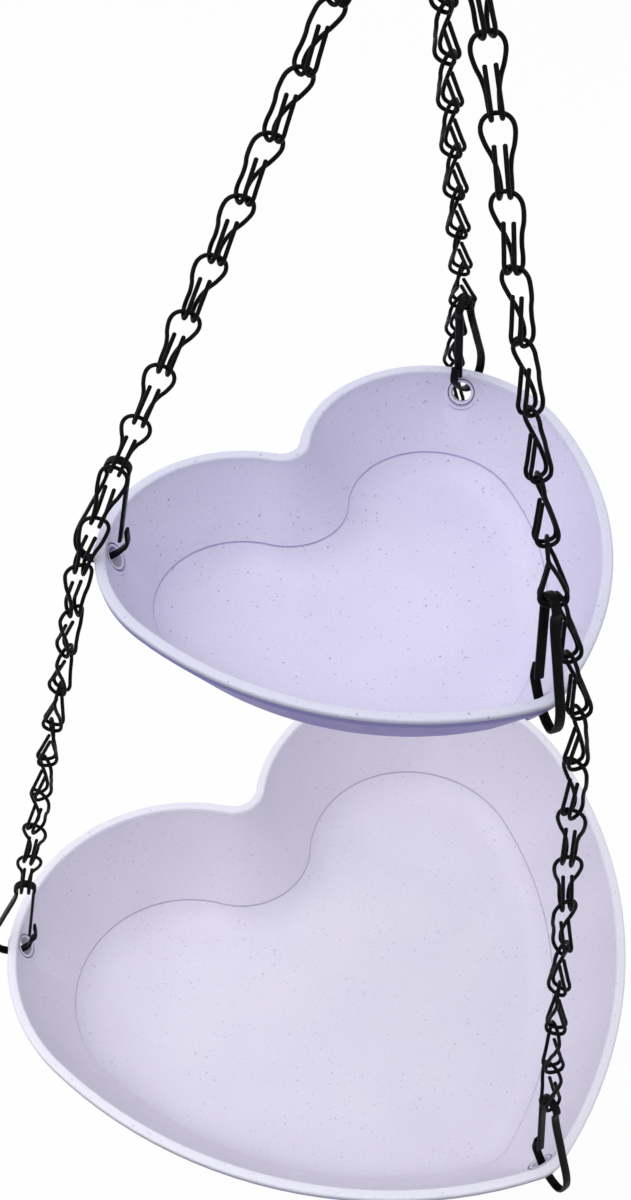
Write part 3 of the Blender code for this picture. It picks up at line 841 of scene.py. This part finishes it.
def make_clip(tier, strand, hole, outward, play, material, body):
    """Spring clip through one hole, and its gate, in the upright plane along outward."""
    place = frame_matrix(hole, UP, outward)
    points = clip_points(play)
    path = smooth_path([Vector((p.x, 0, p.y)) for p in points], CLIP_STEPS)
    add_piece(f"clip_{tier}_{strand}", strip_mesh("clip", path, place), material, body, "coated_wire",
              f"{tier}_clip_{strand}")
    start, end = points[0], Vector(GATE_END)
    hinge = start + (end - start).normalized() * GATE_GAP
    gate = [hinge + (end - hinge) * i / GATE_STEPS for i in range(GATE_STEPS + 1)]
    path = [Vector((p.x, 0, p.y)) for p in gate]
    add_piece(f"gate_{tier}_{strand}", strip_mesh("gate", path, place), material,
              f"{tier}_{strand}_gate", "coated_wire", f"{tier}_gate_{strand}")


# Strands

class Strand:
    """Places of one strand: its ring seat, its clips' holes and the bend past the upper rim."""

    def __init__(self, name, ring_seat):
        self.name = name
        self.ring_seat = ring_seat
        self.upper_hole = hole_frames(UPPER_WIDTH)[name][0]
        self.lower_hole = hole_frames(LOWER_WIDTH)[name][0]
        self.outward = Vector((self.upper_hole.x, self.upper_hole.y, 0)).normalized()
        self.clip_outward = Matrix.Rotation(UPPER_CLIP_TURN, 3, "Z") @ self.outward
        self.aside = UP.cross(self.clip_outward)
        self.upper_reach = self.aside * CLIP_ASIDE - self.clip_outward * CLIP_LEAN
        self.lower_outward = Vector((self.lower_hole.x, self.lower_hole.y, 0)).normalized()
        self.lower_reach = -self.lower_outward * CLIP_LEAN

    def hang_upper(self, upper_rim):
        self.upper_hole.z += upper_rim
        self.upper_seat = self.upper_hole + UP * SEAT_HEIGHT + self.upper_reach
        upward = (self.ring_seat - self.upper_seat).normalized()
        start = self.upper_seat + upward * (LOOSE_SEAT + STRAND_LIFT) + self.aside * STRAND_ASIDE
        lean = self.outward * LEAN_OUT + self.aside * LEAN_ASIDE
        length = LEANING_LINKS * LINK_PITCH
        self.start = start
        self.bend = start + lean - UP * math.sqrt(length ** 2 - lean.length_squared)

    def hang_lower(self, lower_rim):
        self.lower_hole.z += lower_rim
        self.lower_seat = self.lower_hole + UP * SEAT_HEIGHT + self.lower_reach


def make_upper_chain(strand, material):
    """Links from the ring to the upper clip, turned half round at the clip on the left."""
    upward = (strand.ring_seat - strand.upper_seat).normalized()
    top = strand.ring_seat + upward * RING_SEAT
    pitch = ((top - strand.upper_seat).length - WELDED_SEAT) / UPPER_LINKS
    across = -strand.clip_outward if strand.name == "left" else strand.clip_outward
    start, end = (Matrix.Rotation(math.radians(t), 3, "Z") for t in UPPER_TURNS[strand.name])
    frames = strand_frames(top, strand.upper_seat, UPPER_LINKS, pitch, start @ Vector((1, 0, 0)),
                           end @ across, ease=TURN_EASE)
    for i, place in enumerate(frames):
        depth = LAST_HOOK_DEPTH if i == UPPER_LINKS - 1 else HOOK_DEPTH
        seat = WELDED_SEAT if i == UPPER_LINKS - 1 else TOUCHING_SEAT
        mesh = wire_mesh("link", link_path(pitch, seat, depth), WIRE_RADIUS, place)
        add_piece(f"link_upper_{strand.name}_{i + 1:02d}", mesh, material, "upper_tier", "coated_wire",
                  f"upper_chain_{strand.name}")


def make_lower_chain(strand, material):
    """Loose links from the upper clip, past the rim and down to the lower clip."""
    second, third = (Matrix.Rotation(math.radians(t), 3, "Z") @ strand.clip_outward
                     for t in LOWER_TURNS[strand.name])
    lean = strand_frames(strand.start, strand.bend, LEANING_LINKS, LINK_PITCH,
                         strand.clip_outward, second)
    top = strand.bend + UP * BEND_LIFT
    hanging = LOWER_LINKS - LEANING_LINKS
    pitch = ((top - strand.lower_seat).length - LOOSE_SEAT) / hanging
    hang = strand_frames(top, strand.lower_seat, hanging, pitch,
                         third, strand.lower_outward, twist=LOWER_TWIST)
    for i, place in enumerate(lean + hang):
        length = LINK_PITCH if i < LEANING_LINKS else pitch
        body = f"{strand.name}_run"
        if i < LEANING_LINKS:
            body = "upper_tier"
        elif i == LEANING_LINKS:
            body = f"{strand.name}_bend_link"
        seat = LOOSE_SEAT + (TURNING_PLAY if i == LEANING_LINKS else 0)
        mesh = wire_mesh("link", link_path(length, seat, HOOK_DEPTH), WIRE_RADIUS, place)
        add_piece(f"link_lower_{strand.name}_{i + 1:02d}", mesh, material, body, "coated_wire",
                  f"lower_{strand.name}_link_{i + 1:02d}")


def make_top(material):
    """Hook and ring, and the seats of the strands on the ring."""
    crown = Vector((0, HOOK_WIRE - HOOK_CROWN))
    bowl = crown - Vector((0, HOOK_SHANK))
    points = arc(crown, HOOK_CROWN, math.pi + HOOK_MOUTH, 0, TOP_HOOK_STEPS)
    points += arc(bowl, HOOK_BOWL, math.pi, 2 * math.pi + HOOK_MOUTH, TOP_HOOK_STEPS)
    path = smooth_path([Vector((p.x, 0, p.y)) for p in points], TOP_HOOK_SMOOTHING)
    add_piece("hook", wire_mesh("hook", path, HOOK_WIRE), material, "hook", "coated_wire", "top_hook")
    middle = UP * (bowl.y - HOOK_BOWL + HOOK_WIRE + RING_WIRE + SEAT_GAP - RING_RADIUS)
    turns = [2 * math.pi * i / RING_STEPS for i in range(RING_STEPS)]
    path = [middle + RING_RADIUS * Vector((0, math.cos(t), math.sin(t))) for t in turns]
    add_piece("ring", wire_mesh("ring", path, RING_WIRE, closed=True), material, "ring", "coated_wire",
              "top_ring")
    return [middle + Vector((0, y, -math.sqrt(RING_RADIUS ** 2 - y ** 2))) for y in RING_PLACES]


# Whole object

def build_object():
    wire = wire_material("black_chain_wire", *CHAIN_FINISH)
    strip = wire_material("black_spring_strip", *STRIP_FINISH)
    fitting = wire_material("black_fittings", *FITTING_FINISH)
    upper_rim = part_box("upper_dish")[1][2]
    lower_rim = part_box("lower_dish")[1][2]
    upper_plastic = dish_material("lilac_plastic_upper", upper_rim, **UPPER_LOOK)
    lower_plastic = dish_material("lilac_plastic_lower", lower_rim, **LOWER_LOOK)
    strands = [Strand(name, seat) for name, seat in zip(STRANDS, make_top(fitting))]
    for strand in strands:
        strand.hang_upper(upper_rim)
        strand.hang_lower(lower_rim)
        make_upper_chain(strand, wire)
        make_lower_chain(strand, wire)
        make_clip("upper", strand.name, strand.upper_hole, strand.clip_outward, FIRM_PLAY, strip,
                  "upper_tier")
        at_tip = strand.name == "tip"
        play = FIRM_PLAY if at_tip else LOOSE_PLAY
        body = "tip_clip" if at_tip else f"{strand.name}_run"
        make_clip("lower", strand.name, strand.lower_hole, strand.lower_outward, play, strip, body)
    make_dish("dish_upper", UPPER_WIDTH, UPPER_DEPTH, upper_rim, upper_plastic, "upper_tier",
              "upper_dish")
    make_dish("dish_lower", LOWER_WIDTH, LOWER_DEPTH, lower_rim, lower_plastic, "lower_tray",
              "lower_dish")


# Stage

def build_floor():
    bm = bmesh.new()
    bmesh.ops.create_grid(bm, x_segments=2, y_segments=2, size=FLOOR_HALF,
                          matrix=Matrix.Translation((0, 0, FLOOR_HEIGHT)))
    mesh = bpy.data.meshes.new("studio_floor")
    bm.to_mesh(mesh)
    bm.free()
    mesh.materials.append(floor_material())
    floor = bpy.data.objects.new("studio_floor", mesh)
    bpy.context.scene.collection.objects.link(floor)


def build_world():
    world = bpy.data.worlds.new("studio_world")
    bpy.context.scene.world = world
    world.use_nodes = True
    tree = world.node_tree
    ambient = tree.nodes["Background"]
    ambient.inputs["Color"].default_value = SKY_COLOUR
    height = add_node(tree, "ShaderNodeSeparateXYZ")
    tree.links.new(add_node(tree, "ShaderNodeTexCoord").outputs["Generated"], height.inputs["Vector"])
    strength = spread(tree, height.outputs["Z"], *SKY_STRENGTH, 0.0, SKY_RISE)
    tree.links.new(strength, ambient.inputs["Strength"])
    white = add_node(tree, "ShaderNodeBackground")
    white.inputs["Color"].default_value = WHITE
    white.inputs["Strength"].default_value = 1.0
    blend = add_node(tree, "ShaderNodeMixShader")
    tree.links.new(seen_rays(tree)[0], blend.inputs[0])
    tree.links.new(ambient.outputs["Background"], blend.inputs[1])
    tree.links.new(white.outputs["Background"], blend.inputs[2])
    tree.links.new(blend.outputs["Shader"], tree.nodes["World Output"].inputs["Surface"])


def add_light(name, place, size, power):
    light = bpy.data.lights.new(name, "AREA")
    light.shape = "DISK"
    light.size = size
    light.energy = power
    obj = bpy.data.objects.new(name, light)
    obj.location = place
    aim = Vector(LIGHT_TARGET) - Vector(place)
    obj.rotation_euler = aim.to_track_quat("-Z", "Y").to_euler()
    bpy.context.scene.collection.objects.link(obj)


def build_camera():
    forward = Vector((math.sin(CAMERA_YAW) * math.cos(CAMERA_PITCH),
                      math.cos(CAMERA_YAW) * math.cos(CAMERA_PITCH), -math.sin(CAMERA_PITCH)))
    right = Vector((math.cos(CAMERA_YAW), -math.sin(CAMERA_YAW), 0))
    above = right.cross(forward)
    c, s = math.cos(CAMERA_ROLL), math.sin(CAMERA_ROLL)
    right, above = c * right + s * above, c * above - s * right
    data = bpy.data.cameras.new("photo_camera")
    longest = max(IMAGE_SIZE)
    data.sensor_fit = "AUTO"
    data.sensor_width = SENSOR
    data.lens = FOCAL_PIXELS * SENSOR / longest
    data.shift_x = (IMAGE_SIZE[0] / 2 - OPTICAL_AXIS[0]) / longest
    data.shift_y = (OPTICAL_AXIS[1] - IMAGE_SIZE[1] / 2) / longest
    data.clip_start = NEAR_LIMIT
    camera = bpy.data.objects.new("photo_camera", data)
    turn = Matrix((right, above, -forward)).transposed().to_4x4()
    camera.matrix_world = Matrix.Translation(CAMERA_PLACE) @ turn
    bpy.context.scene.collection.objects.link(camera)
    bpy.context.scene.camera = camera


build_object()
build_floor()
build_world()
add_light("key", *KEY_LIGHT)
add_light("fill", *FILL_LIGHT)
build_camera()
bpy.context.scene.view_settings.view_transform = "Standard"
